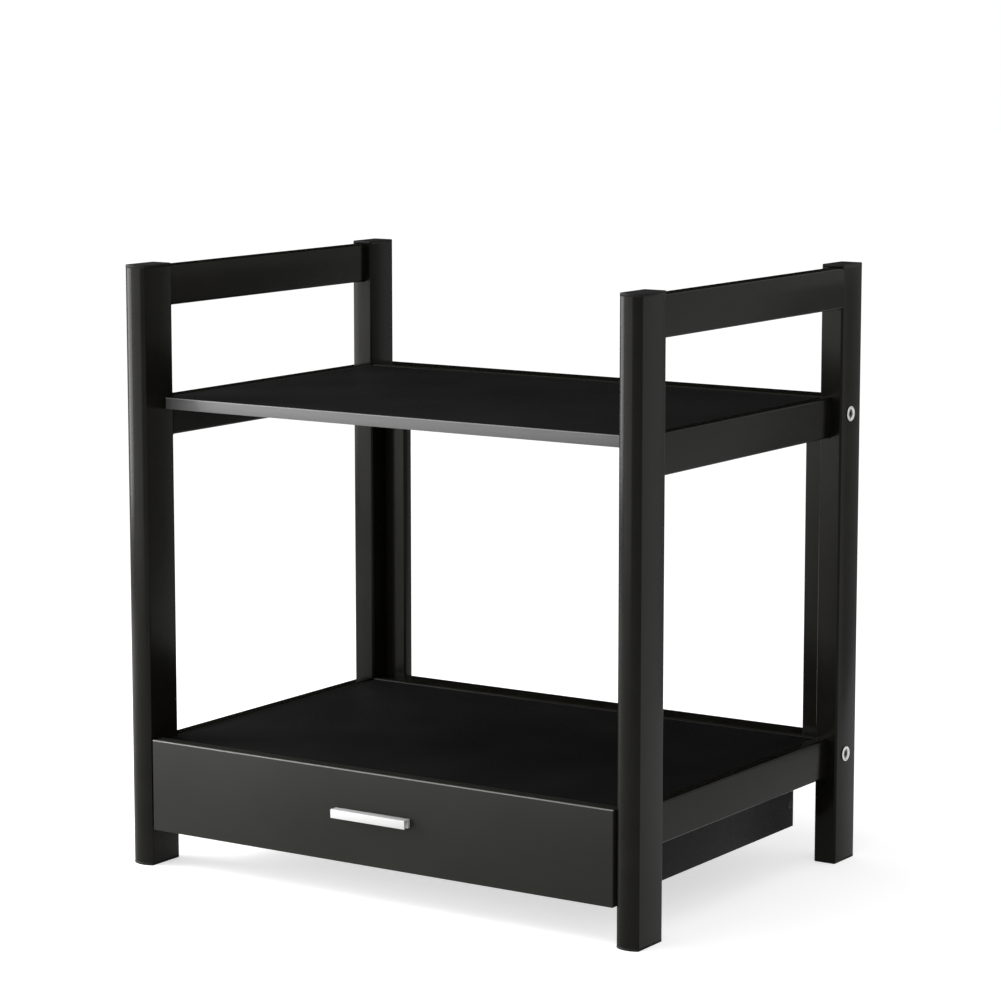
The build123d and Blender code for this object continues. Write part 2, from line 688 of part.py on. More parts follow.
def slide_retainer(back, ball_depth, ball_z, ball_diameter):
    """Sheet-metal ball retainer: a thin channel with a row of holes in each flange."""
    half_height = ball_z + retainer_wall / 2
    blank = slide_channel(back, retainer_mouth, half_height, retainer_wall, retainer_length)
    with BuildPart() as retainer:
        add(blank)
        with BuildSketch(Plane.XY.offset(slide_z - half_height)):
            with Locations([(inner_x - ball_depth, y) for y in ball_ys]):
                Circle(ball_diameter / 2 + ball_hole_play)
        extrude(amount=2 * half_height, mode=Mode.SUBTRACT)
    return retainer.part


def slide_balls(ball_depth, ball_z, ball_diameter):
    """Two rows of balls, above and below the middle of the slide."""
    with BuildPart() as balls:
        for row in (-1, 1):
            with Locations([(inner_x - ball_depth, y, slide_z + row * ball_z) for y in ball_ys]):
                Sphere(ball_diameter / 2)
    return balls.part


def countersunk_cuts(channel, face_depth, wall, direction):
    """Screw holes through the web of a slide member, countersunk from its open side."""
    with BuildPart() as member:
        add(channel)
        face_x = inner_x - face_depth
        turn = 90 * direction
        for y in slide_screw_ys:
            with Locations(Location((face_x, y, slide_z), (0, turn, 0))):
                Cone(
                    slide_screw_head / 2 + ball_hole_play,
                    slide_screw_diameter / 2 + ball_hole_play,
                    wall,
                    align=(Align.CENTER, Align.CENTER, Align.MIN),
                    mode=Mode.SUBTRACT,
                )
    return member.part


def slide_screws(face_depth, wall, direction):
    """Countersunk screws of one slide member, heads flush with the inside of its web."""
    with BuildPart() as screws:
        face_x = inner_x - face_depth
        turn = 90 * direction
        for y in slide_screw_ys:
            with Locations(Location((face_x, y, slide_z), (0, turn, 0))):
                Cone(
                    slide_screw_head / 2,
                    slide_screw_diameter / 2,
                    wall,
                    align=(Align.CENTER, Align.CENTER, Align.MIN),
                )
                Cylinder(
                    slide_screw_diameter / 2,
                    slide_screw_length,
                    align=(Align.CENTER, Align.CENTER, Align.MIN),
                )
        mirror(about=Plane.YZ)
    return screws.part


cabinet_channel = slide_channel(0, cabinet_mouth, cabinet_half, cabinet_wall, slide_length)
cabinet_member = countersunk_cuts(cabinet_channel, cabinet_wall, cabinet_wall, 1)
save_pair(cabinet_member, "slide_cabinet_member")
middle_member = slide_channel(middle_back, middle_mouth, middle_half, middle_wall, slide_length)
save_pair(middle_member, "slide_middle_member")
drawer_channel = slide_channel(
    slide_space, drawer_member_mouth, drawer_member_half, drawer_member_wall, slide_length
)
drawer_member = countersunk_cuts(drawer_channel, slide_space - drawer_member_wall, drawer_member_wall, -1)
save_pair(drawer_member, "slide_drawer_member")

outer_retainer = slide_retainer(outer_retainer_back, outer_ball_depth, outer_ball_z, outer_ball)
save_pair(outer_retainer, "slide_outer_retainer")
inner_retainer = slide_retainer(inner_retainer_back, inner_ball_depth, inner_ball_z, inner_ball)
save_pair(inner_retainer, "slide_inner_retainer")
save_pair(slide_balls(outer_ball_depth, outer_ball_z, outer_ball), "slide_outer_balls")
save_pair(slide_balls(inner_ball_depth, inner_ball_z, inner_ball), "slide_inner_balls")

save(slide_screws(cabinet_wall, cabinet_wall, 1), "slide_rail_screws")
save(slide_screws(slide_space - drawer_member_wall, drawer_member_wall, -1), "slide_drawer_screws")
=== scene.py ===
import math
import bpy
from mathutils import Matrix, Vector


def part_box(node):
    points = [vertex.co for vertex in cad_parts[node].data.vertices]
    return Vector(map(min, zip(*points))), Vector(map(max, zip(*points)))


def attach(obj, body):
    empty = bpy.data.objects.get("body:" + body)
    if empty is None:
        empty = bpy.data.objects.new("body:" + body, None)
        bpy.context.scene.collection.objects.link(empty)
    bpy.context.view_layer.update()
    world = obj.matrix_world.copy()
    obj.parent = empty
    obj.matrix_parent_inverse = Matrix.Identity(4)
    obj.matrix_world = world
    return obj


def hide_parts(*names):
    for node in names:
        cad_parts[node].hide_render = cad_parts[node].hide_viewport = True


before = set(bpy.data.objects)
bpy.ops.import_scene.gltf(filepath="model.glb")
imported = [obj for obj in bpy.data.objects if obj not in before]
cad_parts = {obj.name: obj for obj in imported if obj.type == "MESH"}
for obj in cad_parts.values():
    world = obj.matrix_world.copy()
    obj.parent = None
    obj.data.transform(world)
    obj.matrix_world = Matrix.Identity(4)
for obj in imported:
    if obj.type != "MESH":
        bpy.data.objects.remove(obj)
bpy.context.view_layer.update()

# ---- Front posts --------------------------------------------------------------------
# Steel tubes with a bowed front, one in each welded side frame. They are powder coated
# in semi-gloss black, with a fine orange peel, and the side rails are welded to them.


def surface(name, dark, light, rough, cloud_scale, grain_scale, grain_depth, metal=0.0, specular=0.5,
            stretch=(1, 1, 1)):
    """Material with a clouded colour and gloss, and a fine bumpy grain that can be drawn out."""
    mat = bpy.data.materials.new(name)
    mat.use_nodes = True
    nodes, links = mat.node_tree.nodes, mat.node_tree.links
    shader = nodes["Principled BSDF"]
    shader.inputs["Metallic"].default_value = metal
    shader.inputs["Specular IOR Level"].default_value = specular
    place = nodes.new("ShaderNodeTexCoord")
    draw = nodes.new("ShaderNodeMapping")
    draw.inputs["Scale"].default_value = stretch
    cloud = nodes.new("ShaderNodeTexNoise")
    cloud.inputs["Scale"].default_value = cloud_scale
    cloud.inputs["Detail"].default_value = 5.0
    tint = nodes.new("ShaderNodeValToRGB")
    tint.color_ramp.elements[0].position = 0.3
    tint.color_ramp.elements[0].color = (*dark, 1)
    tint.color_ramp.elements[1].position = 0.7
    tint.color_ramp.elements[1].color = (*light, 1)
    grain = nodes.new("ShaderNodeTexNoise")
    grain.inputs["Scale"].default_value = grain_scale
    grain.inputs["Detail"].default_value = 2.0
    gloss = nodes.new("ShaderNodeMapRange")
    gloss.inputs["From Min"].default_value = 0.3
    gloss.inputs["From Max"].default_value = 0.7
    gloss.inputs["To Min"].default_value = rough[0]
    gloss.inputs["To Max"].default_value = rough[1]
    bump = nodes.new("ShaderNodeBump")
    bump.inputs["Strength"].default_value = 1.0
    bump.inputs["Distance"].default_value = grain_depth
    links.new(place.outputs["Object"], draw.inputs["Vector"])
    links.new(draw.outputs["Vector"], cloud.inputs["Vector"])
    links.new(draw.outputs["Vector"], grain.inputs["Vector"])
    links.new(cloud.outputs["Fac"], tint.inputs["Fac"])
    links.new(tint.outputs["Color"], shader.inputs["Base Color"])
    links.new(grain.outputs["Fac"], gloss.inputs["Value"])
    links.new(gloss.outputs["Result"], shader.inputs["Roughness"])
    links.new(grain.outputs["Fac"], bump.inputs["Height"])
    links.new(bump.outputs["Normal"], shader.inputs["Normal"])
    return mat


def pick(piece, kind, test):
    """Leave the piece in edit mode with only its edges or faces selected that pass the test."""
    bpy.ops.object.mode_set(mode="OBJECT")
    bpy.ops.object.select_all(action="DESELECT")
    bpy.context.view_layer.objects.active = piece
    piece.select_set(True)
    bpy.ops.object.mode_set(mode="EDIT")
    bpy.ops.mesh.select_mode(type=kind)
    bpy.ops.mesh.select_all(action="DESELECT")
    bpy.ops.object.mode_set(mode="OBJECT")
    for item in piece.data.edges if kind == "EDGE" else piece.data.polygons:
        item.select = test(item)
    bpy.ops.object.mode_set(mode="EDIT")


def runs(piece, edge, axis):
    """True where an edge runs along an axis."""
    along = piece.data.vertices[edge.vertices[1]].co - piece.data.vertices[edge.vertices[0]].co
    return abs(along[axis]) > 0.99 * along.length


def apply_all(piece):
    """Apply a piece's modifiers and place, and smooth its rounded parts."""
    if bpy.context.mode != "OBJECT":
        bpy.ops.object.mode_set(mode="OBJECT")
    bpy.ops.object.select_all(action="DESELECT")
    bpy.context.view_layer.objects.active = piece
    piece.select_set(True)
    for modifier in list(piece.modifiers):
        bpy.ops.object.modifier_apply(modifier=modifier.name)
    bpy.ops.object.transform_apply(location=True, rotation=True, scale=True)
    bpy.ops.object.shade_smooth_by_angle(angle=math.radians(32))


def wall(piece, thickness):
    """Give an open shell a sheet-metal wall on its inside."""
    sheet = piece.modifiers.new("wall", "SOLIDIFY")
    sheet.thickness = thickness
    sheet.offset = -1.0
    sheet.use_even_offset = True


def dress(piece, mat, slot, body, *nodes):
    """Give a piece that stands for CAD nodes its material, hide those nodes, and attach the piece to its
    body.
    """
    piece.data.materials.clear()
    piece.data.materials.append(mat)
    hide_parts(*nodes)
    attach(piece, body)


coat = surface("black_powder_coat", (0.0054, 0.0051, 0.0038), (0.0076, 0.0072, 0.0057), (0.14, 0.22),
               30.0, 650.0, 0.000012, specular=0.07)
tube_wall = 0.0012
tube_corner = 0.002
bow_rise = 0.0035
shoulder_round = 0.001
side_stub = 0.001  # straight side behind the shoulder, drawn out to the post's full depth
for side in ("left", "right"):
    low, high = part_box(f"{side}_front_post")
    half = (high.x - low.x) / 2
    bow_radius = (half ** 2 + bow_rise ** 2) / (2 * bow_rise)
    middle = (low + high) / 2
    shoulder_y = low.y + bow_rise
    bpy.ops.mesh.primitive_cylinder_add(vertices=360, radius=bow_radius, depth=high.z - low.z,
                                        location=(middle.x, low.y + bow_radius, middle.z))
    post = bpy.context.object
    post.name = f"{side}_front_post_tube"
    bpy.ops.object.transform_apply(location=True)
    for place_x, turn in ((low.x, -1), (high.x, 1)):
        pick(post, "FACE", lambda face: True)
        bpy.ops.mesh.bisect(plane_co=(place_x, 0, 0), plane_no=(turn, 0, 0), use_fill=True, clear_outer=True)
    pick(post, "FACE", lambda face: True)
    bpy.ops.mesh.bisect(plane_co=(0, shoulder_y + side_stub, 0), plane_no=(0, 1, 0),
                        use_fill=True, clear_outer=True)
    pick(post, "FACE", lambda face: face.normal.y > 0.99)
    bpy.ops.mesh.extrude_region_move(
        TRANSFORM_OT_translate={"value": (0, high.y - shoulder_y - side_stub, 0)})
    pick(post, "FACE", lambda face: abs(face.normal.z) > 0.99)
    bpy.ops.mesh.delete(type="FACE")
    pick(post, "EDGE", lambda edge: runs(post, edge, 2)
         and post.data.vertices[edge.vertices[0]].co.y > high.y - 0.0001)
    bpy.ops.mesh.bevel(offset=tube_corner, segments=5, affect="EDGES")
    pick(post, "EDGE", lambda edge: runs(post, edge, 2)
         and abs(abs(post.data.vertices[edge.vertices[0]].co.x - middle.x) - half) < 0.00002
         and abs(post.data.vertices[edge.vertices[0]].co.y - shoulder_y) < 0.0003)
    bpy.ops.mesh.bevel(offset=shoulder_round, segments=4, affect="EDGES")
    wall(post, tube_wall)
    apply_all(post)
    dress(post, coat, "black_powder_coat", "frame", f"{side}_front_post")

# ---- Rear posts, rails and back frame -----------------------------------------------
# Rectangular steel tubes with rounded corners, in the same black coat. The rails are
# welded between the posts, and the stiles between the two square crossrails.


def tube(name, axis, weld=0.0):
    """Hollow rectangular tube in the place of a CAD node, along one axis, with its welds ground flush."""
    low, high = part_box(name)
    low[axis] -= weld
    high[axis] += weld
    bpy.ops.mesh.primitive_cube_add(size=1, location=(low + high) / 2, scale=high - low)
    piece = bpy.context.object
    piece.name = f"{name}_tube"
    bpy.ops.object.transform_apply(location=True, rotation=True, scale=True)
    pick(piece, "EDGE", lambda edge: runs(piece, edge, axis))
    bpy.ops.mesh.bevel(offset=tube_corner, segments=5, affect="EDGES")
    pick(piece, "FACE", lambda face: abs(face.normal[axis]) > 0.99)
    bpy.ops.mesh.delete(type="FACE")
    wall(piece, tube_wall)
    apply_all(piece)
    return piece


top_rail_weld = 0.0019  # deeper, to close the gap at the posts' rounded corners
butt_weld = 0.0006
for side in ("left", "right"):
    for name, axis, weld in (("rear_post", 2, 0), ("top_rail", 1, top_rail_weld),
                             ("middle_rail", 1, butt_weld), ("lower_rail", 1, butt_weld),
                             ("back_stile", 2, butt_weld)):
        dress(tube(f"{side}_{name}", axis, weld=weld), coat, "black_powder_coat", "frame", f"{side}_{name}")
for name in ("middle_crossrail", "lower_crossrail"):
    dress(tube(name, 0), coat, "black_powder_coat", "frame", name)

# ---- Weld beads ---------------------------------------------------------------------
# Short rippled beads along the underside of each rail where it meets a post, left
# unground where they don't show, and coated with the frame.
bead_radius = 0.0011
ripples = 7
bead_start, bead_length = 0.18, 0.64  # as shares of the rail's width
for side in ("left", "right"):
    for name in ("top_rail", "middle_rail", "lower_rail"):
        low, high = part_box(f"{side}_{name}")
        for y, inward in ((low.y, 1), (high.y, -1)):
            drops = []
            for step in range(ripples):
                x = low.x + (high.x - low.x) * (bead_start + bead_length * step / (ripples - 1))
                bpy.ops.mesh.primitive_uv_sphere_add(segments=20, ring_count=12, radius=bead_radius,
                                                     location=(x, y + inward * 0.0002, low.z - 0.0001),
                                                     scale=(1.25, 0.95, 0.75))
                drops.append(bpy.context.object)
            bpy.ops.object.select_all(action="DESELECT")
            for drop in drops:
                drop.select_set(True)
            bpy.context.view_layer.objects.active = drops[0]
            bpy.ops.object.join()
            bead = bpy.context.object
            bead.name = f"{side}_{name}_bead_{'front' if inward > 0 else 'rear'}"
            apply_all(bead)
            bead.data.materials.append(coat)
            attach(bead, "frame")

# ---- Post caps and feet -------------------------------------------------------------
# Moulded black plastic ends pushed into the tubes: a flange over the tube's end with a
# rounded edge, and a hollow plug inside it. The plastic has a fine matt grain.


def smooth_copy(name):
    """Merged and smoothed copy of a CAD node's mesh."""
    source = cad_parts[name]
    piece = source.copy()
    piece.data = source.data.copy()
    piece.name = f"{name}_piece"
    piece.parent = None
    bpy.context.collection.objects.link(piece)
    pick(piece, "FACE", lambda face: True)
    bpy.ops.mesh.remove_doubles(threshold=0.000002)
    apply_all(piece)
    return piece


plastic = surface("black_plastic", (0.007, 0.007, 0.0065), (0.011, 0.011, 0.0105), (0.42, 0.58),
                  60.0, 1400.0, 0.00002, specular=0.1)
for side in ("left", "right"):
    for name in ("front_post_cap", "rear_post_cap", "front_foot", "rear_foot"):
        dress(smooth_copy(f"{side}_{name}"), plastic, "black_plastic", "frame", f"{side}_{name}")

# ---- Frame bolts and their collars --------------------------------------------------
# M5 socket cap screws in black steel, which hold the crossrails to the posts. Each sits
# in a bright collar that lines its hole and shows as a ring on the post.
bright = surface("bright_collar", (0.56, 0.555, 0.55), (0.66, 0.655, 0.65), (0.2, 0.3),
                 220.0, 900.0, 0.000003, metal=1.0)
blued = surface("black_screw_steel", (0.06, 0.06, 0.064), (0.1, 0.1, 0.105), (0.3, 0.45), 300.0, 1500.0,
                0.000008, metal=0.7)
dress(smooth_copy("bolt_collars"), bright, "bright_collar", "frame", "bolt_collars")
dress(smooth_copy("frame_bolts"), blued, "black_screw_steel", "frame", "frame_bolts")

# ---- Nut blocks ---------------------------------------------------------------------
# Threaded steel blocks welded inside the ends of the crossrails, out of sight.
zinc = surface("zinc_steel", (0.56, 0.57, 0.59), (0.68, 0.69, 0.7), (0.27, 0.42), 90.0, 700.0, 0.000005,
               metal=1.0, stretch=(1, 0.12, 1))
dress(smooth_copy("crossrail_nut_blocks"), zinc, "zinc_steel", "frame", "crossrail_nut_blocks")

# ---- Shelves ------------------------------------------------------------------------
# Boards with a smooth black laminate on both faces. They rest on ledges inside the side
# frames, and a light plastic band is glued along each front edge.


def board(name, edge, steps=3):
    """Flat board in the place of a CAD node, with eased edges."""
    low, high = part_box(name)
    bpy.ops.mesh.primitive_cube_add(size=1, location=(low + high) / 2, scale=high - low)
    piece = bpy.context.object
    piece.name = f"{name}_board"
    bpy.ops.object.transform_apply(location=True, rotation=True, scale=True)
    pick(piece, "EDGE", lambda item: True)
    bpy.ops.mesh.bevel(offset=edge, segments=steps, affect="EDGES")
    apply_all(piece)
    return piece


def painted_edge_highlight(mat, corners, reach, tone):
    """Painted highlight: a lighter line along the front top corner of a facing, where its edge catches the
    light.
    """
    nodes, links = mat.node_tree.nodes, mat.node_tree.links
    base = nodes["Principled BSDF"].inputs["Base Color"]
    place = nodes.new("ShaderNodeTexCoord")
    split = nodes.new("ShaderNodeSeparateXYZ")
    links.new(place.outputs["Object"], split.inputs["Vector"])
    for corner in corners:
        both = nodes.new("ShaderNodeMath")
        both.operation = "MULTIPLY"
        for index, axis in enumerate("YZ"):
            near = nodes.new("ShaderNodeMath")
            near.operation = "COMPARE"
            near.inputs[1].default_value = corner[index]
            near.inputs[2].default_value = reach
            links.new(split.outputs[axis], near.inputs[0])
            links.new(near.outputs["Value"], both.inputs[index])
        line = nodes.new("ShaderNodeMix")
        line.data_type = "RGBA"
        line.inputs[7].default_value = (*tone, 1)
        links.new(both.outputs["Value"], line.inputs["Factor"])
        links.new(base.links[0].from_socket, line.inputs[6])
        links.new(line.outputs[2], base)


laminate = surface("black_shelf_laminate", (0.0055, 0.0055, 0.0058), (0.0085, 0.0084, 0.0082), (0.45, 0.55),
                   12.0, 420.0, 0.00001, specular=0.03)
band = surface("grey_edge_band", (0.07, 0.07, 0.071), (0.092, 0.092, 0.0915), (0.3, 0.42), 45.0, 800.0,
               0.00001, stretch=(0.06, 1, 1), specular=0.3)
bands = [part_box(f"{name}_edge_band") for name in ("upper_shelf", "lower_shelf")]
# painted highlight: a lighter line along the top front edge of each edge band
painted_edge_highlight(band, [(low.y, high.z) for low, high in bands], 0.0009, (0.16, 0.16, 0.16))
for name in ("upper_shelf", "lower_shelf"):
    dress(board(name, 0.0003), laminate, "black_shelf_laminate", "frame", name)
    dress(board(f"{name}_edge_band", 0.00025), band, "grey_edge_band", "frame", f"{name}_edge_band")

# ---- Shelf ledges and screws --------------------------------------------------------
# Flat steel bars welded to the rails under the boards, coated with the frame, and pan
# head screws driven up through them.
for side in ("left", "right"):
    for name in ("upper_shelf_ledge", "lower_shelf_ledge"):
        dress(smooth_copy(f"{side}_{name}"), coat, "black_powder_coat", "frame", f"{side}_{name}")


def turned(outline):
    """Closed turned shape along +Z from rings of (radius, height)."""
    sides = 36
    radius, height = outline[0]
    bpy.ops.object.select_all(action="DESELECT")
    bpy.ops.mesh.primitive_circle_add(vertices=sides, radius=radius, fill_type="NGON",
                                      location=(0, 0, height))
    piece = bpy.context.object
    bpy.ops.object.transform_apply(location=True)
    bpy.ops.object.mode_set(mode="EDIT")
    bpy.ops.mesh.select_all(action="SELECT")
    for next_radius, next_height in outline[1:]:
        bpy.ops.mesh.extrude_region_move(TRANSFORM_OT_translate={"value": (0, 0, next_height - height)})
        scale = next_radius / radius
        bpy.ops.transform.resize(value=(scale, scale, 1), center_override=(0, 0, next_height))
        radius, height = next_radius, next_height
    bpy.ops.mesh.select_all(action="SELECT")
    bpy.ops.mesh.normals_make_consistent(inside=False)
    bpy.ops.object.mode_set(mode="OBJECT")
    return piece


def cross_recess(piece, top, size):
    """Cut a tapered cross into the head of a screw."""
    for angle in (0, math.pi / 2):
        bpy.ops.mesh.primitive_cube_add(size=1, location=(0, 0, top), scale=(size, size * 0.24, size * 0.75))
        cutter = bpy.context.object
        bpy.ops.object.transform_apply(location=True, rotation=True, scale=True)
        pick(cutter, "FACE", lambda face: face.normal.z < -0.9)
        bpy.ops.transform.resize(value=(0.35, 0.6, 1), center_override=(0, 0, top))
        bpy.ops.object.mode_set(mode="OBJECT")
        cutter.rotation_euler.z = angle
        bpy.ops.object.transform_apply(rotation=True)
        cut = piece.modifiers.new("recess", "BOOLEAN")
        cut.object = cutter
        cut.operation = "DIFFERENCE"
        apply_all(piece)
        bpy.data.objects.remove(cutter)


def screw_set(name, pattern, places):
    """Copies of one screw, its head towards each direction, joined into one piece."""
    copies = []
    for at, towards in places:
        piece = pattern.copy()
        piece.data = pattern.data.copy()
        bpy.context.collection.objects.link(piece)
        piece.rotation_mode = "QUATERNION"
        piece.rotation_quaternion = Vector(towards).to_track_quat("Z", "Y")
        piece.location = at
        copies.append(piece)
    bpy.data.objects.remove(pattern)
    bpy.ops.object.select_all(action="DESELECT")
    for piece in copies:
        piece.select_set(True)
    bpy.context.view_layer.objects.active = copies[0]
    bpy.ops.object.join()
    joined = bpy.context.object
    joined.name = name
    apply_all(joined)
    return joined


def pan_screw(head, rise, shank, length):
    """Pan head screw with its seat at height 0 and a cross recess."""
    piece = turned([
        (shank * 0.15, -length), (shank, -length + shank * 2.0), (shank, 0), (head * 0.97, 0),
        (head, rise * 0.12), (head, rise * 0.45), (head * 0.9, rise * 0.8), (head * 0.66, rise * 0.97),
        (head * 0.4, rise),
    ])
    cross_recess(piece, rise, head * 1.15)
    return piece


def sunk_screw(head, sink, shank, length):
    """Countersunk screw with a cross recess, its head's rim just proud of the seat at height 0."""
    rim = 0.00012
    piece = turned([
        (shank * 0.15, -length), (shank, -length + shank * 2.0), (shank, -sink), (head * 0.96, -sink * 0.12),
        (head, rim * 0.4), (head * 0.97, rim), (head * 0.5, rim),
    ])
    cross_recess(piece, rim, head * 1.1)
    return piece


low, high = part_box("shelf_screws")
undersides = [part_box(f"right_{name}_ledge")[0].z for name in ("upper_shelf", "lower_shelf")]
head, pan_rise, screw_shank = 0.0035, 0.0024, 0.00175
rows = (low.y + head, (low.y + high.y) / 2, high.y - head)
places = [((side * (high.x - head), y, z), (0, 0, -1))
          for side in (-1, 1) for y in rows for z in undersides]
dress(screw_set("shelf_screw_set", pan_screw(head, pan_rise, screw_shank, 0.0098), places), blued,
      "black_screw_steel", "frame", "shelf_screws")

# ---- Drawer front -------------------------------------------------------------------
# Board with a charcoal laminate, a little lighter and warmer than the frame, with eased
# edges that catch the light. It is screwed to the drawer sides from behind.
charcoal = surface("charcoal_laminate", (0.016, 0.016, 0.0138), (0.0198, 0.0196, 0.0172), (0.3, 0.4),
                   9.0, 500.0, 0.00001, specular=0.08)
low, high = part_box("drawer_front")
# painted highlight: a lighter line along the top front edge of the drawer front
painted_edge_highlight(charcoal, [(low.y, high.z)], 0.001, (0.17, 0.17, 0.165))
dress(board("drawer_front", 0.0009, 4), charcoal, "charcoal_laminate", "drawer", "drawer_front")

# ---- Drawer box ---------------------------------------------------------------------
# Sides and back of black melamine board and a thin grey hardboard floor, held in
# grooves. Countersunk screws join the sides to the back.
melamine = surface("black_melamine", (0.006, 0.006, 0.006), (0.009, 0.009, 0.0088), (0.38, 0.5), 20.0, 550.0,
                   0.00002, specular=0.05)
hardboard = surface("grey_hardboard", (0.045, 0.045, 0.043), (0.075, 0.073, 0.07), (0.5, 0.65), 55.0, 380.0,
                    0.00003, stretch=(1, 0.5, 1), specular=0.3)
for name in ("left_drawer_side", "right_drawer_side", "drawer_back"):
    dress(board(name, 0.0005), melamine, "black_melamine", "drawer", name)
dress(board("drawer_floor", 0.0003, 2), hardboard, "grey_hardboard", "drawer", "drawer_floor")

low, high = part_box("drawer_box_screws")
head = 0.0035
places = [((side * high.x, (low.y + high.y) / 2, z), (side, 0, 0))
          for side in (-1, 1) for z in (low.z + head, high.z - head)]
dress(screw_set("drawer_box_screw_set", sunk_screw(head, 0.0015, 0.002, 0.04), places), blued,
      "black_screw_steel", "drawer", "drawer_box_screws")

# ---- Corner brackets of the drawer front --------------------------------------------
# Small folded steel angles, zinc plated, with pan head screws into the front and sides.
dress(smooth_copy("drawer_front_brackets"), zinc, "zinc_steel", "drawer", "drawer_front_brackets")
low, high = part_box("drawer_front_brackets")
sheet, reach, head = 0.0015, 0.012, 0.0035
middle_z = (low.z + high.z) / 2
half_pitch = 0.008
places = []
for side in (-1, 1):
    for z in (middle_z - half_pitch, middle_z + half_pitch):
        places.append(((side * (high.x - reach), low.y + sheet, z), (0, 1, 0)))
        places.append(((side * (high.x - sheet), low.y + reach, z), (-side, 0, 0)))
dress(screw_set("drawer_front_screw_set", pan_screw(head, pan_rise, screw_shank, 0.01), places), zinc,
      "zinc_steel", "drawer", "drawer_front_screws")

# ---- Handle -------------------------------------------------------------------------
# Bar pull of silver anodised aluminium: an upside-down U that is open below, brushed
# along its length, with two screws through the drawer front.
low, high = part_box("drawer_handle")
web, lip, back = 0.002, 0.002, 0.0035
bpy.ops.mesh.primitive_cube_add(size=1, location=(low + high) / 2, scale=high - low)
handle = bpy.context.object
handle.name = "drawer_handle_bar"
bpy.ops.mesh.primitive_cube_add(
    size=1,
    location=(0, (low.y + lip + high.y - back) / 2, (low.z - web + high.z - web) / 2),
    scale=((high.x - low.x) * 1.1, high.y - low.y - lip - back, high.z - low.z),
)
slot_cutter = bpy.context.object
slot_cut = handle.modifiers.new("slot", "BOOLEAN")
slot_cut.object = slot_cutter
slot_cut.operation = "DIFFERENCE"
handle_edge = handle.modifiers.new("edge", "BEVEL")
handle_edge.width = 0.00045
handle_edge.segments = 3
handle_edge.limit_method = "ANGLE"
apply_all(handle)
bpy.data.objects.remove(slot_cutter)
silver = surface("silver_aluminium", (0.5, 0.5, 0.497), (0.56, 0.56, 0.556), (0.4, 0.5), 120.0, 900.0,
                 0.000004, metal=0.2, stretch=(0.03, 1, 1))
dress(handle, silver, "silver_aluminium", "drawer", "drawer_handle")

low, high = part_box("handle_screws")
front_back_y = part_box("drawer_front")[1].y
head = 0.00375
places = [((side * (high.x - head), front_back_y, (low.z + high.z) / 2), (0, 1, 0)) for side in (-1, 1)]
dress(screw_set("handle_screw_set", pan_screw(head, pan_rise, 0.002, 0.018), places), zinc, "zinc_steel",
      "drawer", "handle_screws")

# ---- Drawer slides ------------------------------------------------------------------
# Full-extension ball-bearing slides of zinc-plated sheet steel: three members that run
# one inside the other on two rows of balls each, held by thin retainers.
hole_radius = 0.0019
slot_stretch = 2.6
web_holes = ((-0.46, 1), (-0.2, slot_stretch), (-0.1, 1), (0.1, 1), (0.2, slot_stretch), (0.46, 1))
for side in ("left", "right"):
    outward = 1 if side == "right" else -1
    for name, body, web_out, thickness, bend in (
        ("slide_cabinet_member", "frame", 1, 0.0012, 0.0018),
        ("slide_middle_member", f"{side}_slide_middle", 1, 0.001, 0.0014),
        ("slide_drawer_member", "drawer", -1, 0.001, 0.0014),
    ):
        node = f"{side}_{name}"
        low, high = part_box(node)
        bpy.ops.mesh.primitive_cube_add(size=1, location=(low + high) / 2, scale=high - low)
        member = bpy.context.object
        member.name = f"{node}_channel"
        bpy.ops.object.transform_apply(location=True, rotation=True, scale=True)
        web_x = high.x if outward * web_out > 0 else low.x
        pick(member, "EDGE", lambda edge: runs(member, edge, 1)
             and abs(member.data.vertices[edge.vertices[0]].co.x - web_x) < 0.00001)
        bpy.ops.mesh.bevel(offset=bend, segments=4, affect="EDGES")
        pick(member, "FACE", lambda face: abs(face.normal.y) > 0.99
             or face.normal.x * outward * web_out < -0.99)
        bpy.ops.mesh.delete(type="FACE")
        wall(member, thickness)
        apply_all(member)
        # holes pressed through the web: four round ones and two slots
        middle = (low + high) / 2
        length = high.y - low.y
        cutters = []
        for share, stretch_y in web_holes:
            bpy.ops.mesh.primitive_cylinder_add(
                vertices=32, radius=hole_radius, depth=0.006,
                location=(web_x, middle.y + share * length, middle.z), rotation=(0, math.pi / 2, 0),
                scale=(1, stretch_y, 1),
            )
            cutters.append(bpy.context.object)
        bpy.ops.object.select_all(action="DESELECT")
        for cutter in cutters:
            cutter.select_set(True)
        bpy.context.view_layer.objects.active = cutters[0]
        bpy.ops.object.join()
        cutter = bpy.context.object
        holes = member.modifiers.new("holes", "BOOLEAN")
        holes.object = cutter
        holes.operation = "DIFFERENCE"
        apply_all(member)
        bpy.data.objects.remove(cutter)
        dress(member, zinc, "zinc_steel", body, node)

strip = surface("retainer_steel", (0.5, 0.5, 0.5), (0.6, 0.6, 0.6), (0.3, 0.45), 120.0, 900.0, 0.000004,
                metal=1.0, stretch=(1, 0.1, 1))
ball = surface("ball_steel", (0.76, 0.77, 0.78), (0.84, 0.85, 0.86), (0.08, 0.14), 300.0, 900.0, 0.000001,
               metal=1.0)
for side in ("left", "right"):
    for race in ("outer", "inner"):
        body = f"{side}_slide_{race}_race"
        retainer, balls = f"{side}_slide_{race}_retainer", f"{side}_slide_{race}_balls"
        dress(smooth_copy(retainer), strip, "retainer_steel", body, retainer)
        dress(smooth_copy(balls), ball, "ball_steel", body, balls)

